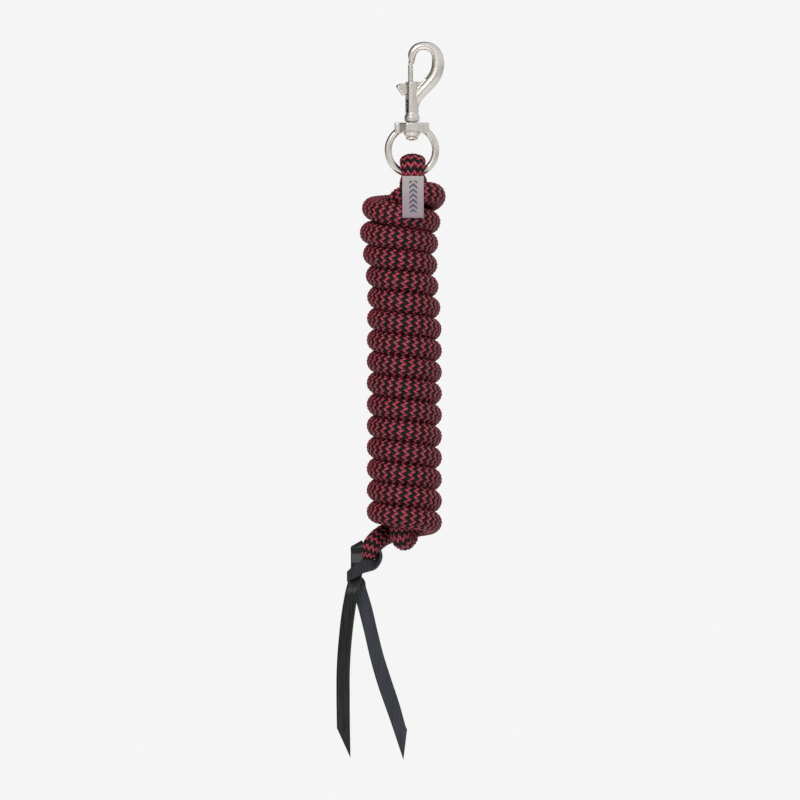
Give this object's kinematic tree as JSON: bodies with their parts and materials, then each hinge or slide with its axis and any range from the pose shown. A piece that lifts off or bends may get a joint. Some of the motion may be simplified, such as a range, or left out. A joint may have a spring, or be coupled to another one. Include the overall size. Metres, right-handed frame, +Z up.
{
  "type": "lead rope",
  "caption": "Horse lead rope with a trigger snap and swivel ring, braided rope coiled into a hank, and a leather popper.",
  "frame": {"origin": "centre of the round seat inside the snap's hook, where the halter's ring hangs", "axes": "+Z up along the hanging rope, +X to the side that the hook bulges to, +Y from the labelled front to the back, along the seat's axis"},
  "size_m": [0.07, 0.0591, 0.4645],
  "materials": {
    "nickel_plate": "polished nickel plate on cast zinc alloy, soft and slightly warm",
    "spring_steel": "bright drawn spring wire",
    "rope_braid": "smooth polyester braid, crimson and near-black zigzag rings",
    "core_yarn": "undyed straight-laid polyester yarn",
    "sewing_thread": "bonded polyester sewing thread",
    "label_satin": "woven satin tape with a plain navy pattern",
    "strap_leather": "black bridle leather, satin face and plain cut edges"
  },
  "bodies": {
    "snap": {"snap_body": "nickel_plate", "swivel_rivet": "nickel_plate", "gate_spring": "spring_steel"},
    "gate": {"gate_bolt": "nickel_plate", "thumb_trigger": "nickel_plate"},
    "ring": {"swivel_ring": "nickel_plate"},
    "hank": {"rope_cover": "rope_braid", "rope_core": "core_yarn", "eye_stitching": "sewing_thread"},
    "label": {"label_ribbon": "label_satin", "label_stitching": "sewing_thread"},
    "popper": {"popper_knot": "strap_leather"},
    "front_tail": {"popper_front_tail": "strap_leather"},
    "back_tail": {"popper_back_tail": "strap_leather"}
  },
  "joints": [
    {"name": "gate_slide", "type": "slide", "parent": "snap", "child": "gate", "axis": [0, 0, -1], "range_m": [0, 0.0062], "stiffness_N_per_m": 900, "springref_m": -0.003, "deforming": ["gate_spring"]},
    {"name": "swivel_spin", "type": "hinge", "parent": "snap", "child": "ring", "pos_m": [-0.0078, 0, -0.0439], "axis": [0, 0, 1], "continuous": true},
    {"name": "eye_tilt", "type": "hinge", "parent": "ring", "child": "hank", "pos_m": [-0.0078, 0, -0.0751], "axis": [1, 0, 0], "range_deg": [-60, 60]},
    {"name": "label_flap", "type": "hinge", "parent": "hank", "child": "label", "pos_m": [-0.0071, -0.0142, -0.0766], "axis": [1, 0, 0], "range_deg": [-60, 0], "stiffness_Nm_per_rad": 0.0002},
    {"name": "popper_swing", "type": "hinge", "parent": "hank", "child": "popper", "pos_m": [-0.0346, 0.0052, -0.3188], "axis": [1, 0, 0], "range_deg": [-35, 35]},
    {"name": "front_tail_swing", "type": "hinge", "parent": "popper", "child": "front_tail", "pos_m": [-0.046, 0.0036, -0.3424], "axis": [1, 0, 0], "range_deg": [-60, 0], "stiffness_Nm_per_rad": 0.0005},
    {"name": "back_tail_swing", "type": "hinge", "parent": "popper", "child": "back_tail", "pos_m": [-0.0415, 0.0074, -0.3424], "axis": [1, 0, 0], "range_deg": [0, 60], "stiffness_Nm_per_rad": 0.0005}
  ]
}
